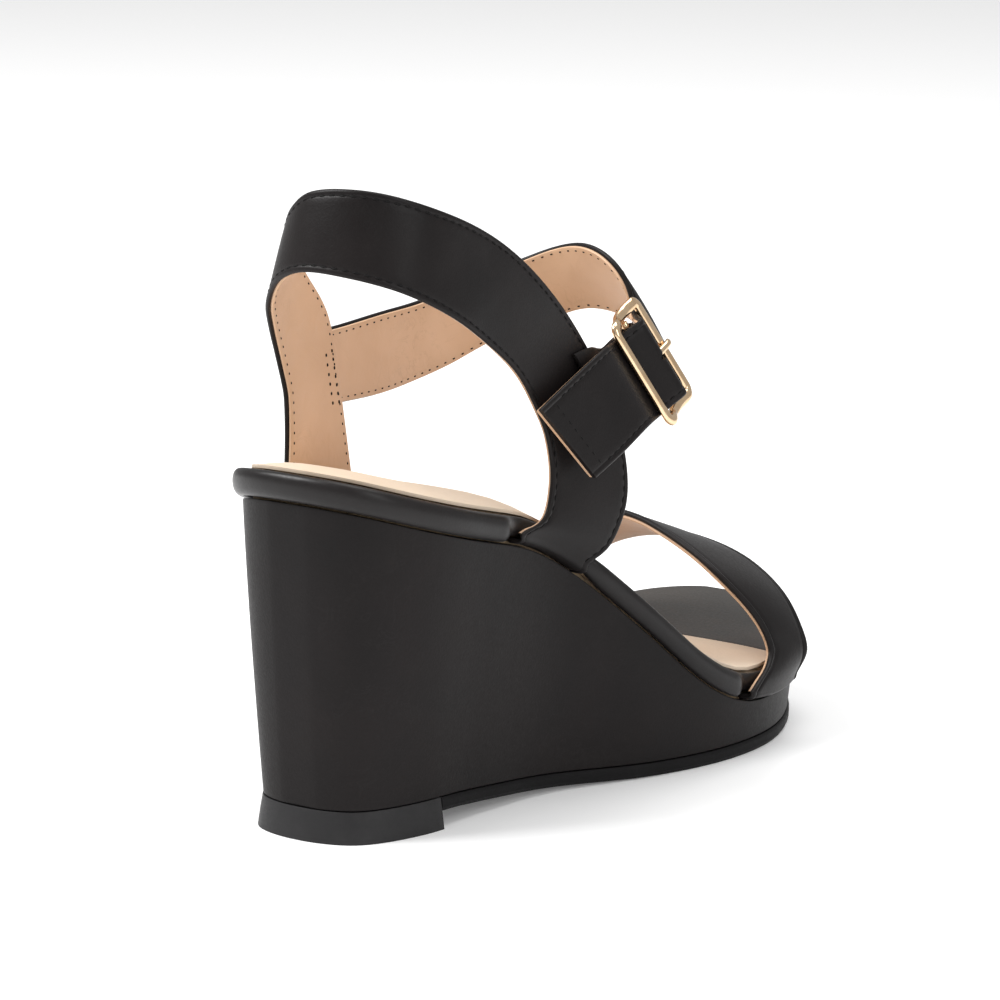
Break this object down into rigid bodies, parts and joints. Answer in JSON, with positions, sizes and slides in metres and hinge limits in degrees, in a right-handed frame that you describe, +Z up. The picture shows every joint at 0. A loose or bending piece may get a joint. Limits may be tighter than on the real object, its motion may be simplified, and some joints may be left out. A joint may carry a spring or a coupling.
{
  "type": "wedge sandal",
  "caption": "Right-foot wedge sandal with a padded footbed, a toe strap, a heel band and an instep strap closed by a pin buckle.",
  "frame": {"origin": "on the ground, under the middle of the sandal's length and width", "axes": "+X towards the outer side of the foot, +Y towards the toe, +Z up"},
  "size_m": [0.0988, 0.2314, 0.1807],
  "materials": {
    "rubber": "matt moulded rubber",
    "steel": "plain drawn steel",
    "wedge_plastic": "moulded, hidden under the cover",
    "black_leather": "satin black with a fine crease grain",
    "filler_board": "cork and fibre composite",
    "insole_board": "cellulose fibre board",
    "foam": "open-cell foam",
    "sock_leather": "smooth pale cream lining leather",
    "dark_sock_leather": "smooth dark lining leather",
    "rand_leather": "smooth satin black over padding",
    "strap_leather": "smooth satin black",
    "lining_leather": "smooth tan lining leather",
    "gold_metal": "polished pale gold plate"
  },
  "bodies": {
    "sandal": {"heel_lift": "rubber", "outsole": "rubber", "lift_nail_1": "steel", "lift_nail_2": "steel", "lift_nail_3": "steel", "wedge_core": "wedge_plastic", "wedge_cover": "black_leather", "bottom_filler": "filler_board", "shank": "steel", "insole_board": "insole_board", "footbed_foam": "foam", "heel_sock": "sock_leather", "forepart_sock": "dark_sock_leather", "rand": "rand_leather", "quarter_outer": "strap_leather", "quarter_lining": "lining_leather", "vamp_outer": "strap_leather", "vamp_lining": "lining_leather", "buckle_tab": "strap_leather"},
    "buckle": {"buckle_frame": "gold_metal", "buckle_bar": "gold_metal"},
    "prong": {"buckle_prong": "gold_metal"},
    "ankle_strap": {"ankle_strap_outer": "strap_leather", "ankle_strap_lining": "lining_leather"}
  },
  "joints": [
    {"name": "buckle_pivot", "type": "hinge", "parent": "sandal", "child": "buckle", "pos_m": [0.03169, 0.00875, 0.12126], "axis": [0.3287, 0.4184, -0.8467], "range_deg": [-8, 8]},
    {"name": "prong_pivot", "type": "hinge", "parent": "buckle", "child": "prong", "pos_m": [0.03169, 0.00875, 0.12126], "axis": [0.3287, 0.4184, -0.8467], "range_deg": [0, 75]},
    {"name": "ankle_strap_opening", "type": "hinge", "parent": "sandal", "child": "ankle_strap", "pos_m": [-0.03675, -0.05469, 0.122], "axis": [0.0256, -0.2344, 0.9718], "range_deg": [0, 95], "deforming": ["ankle_strap_outer", "ankle_strap_lining"]}
  ]
}
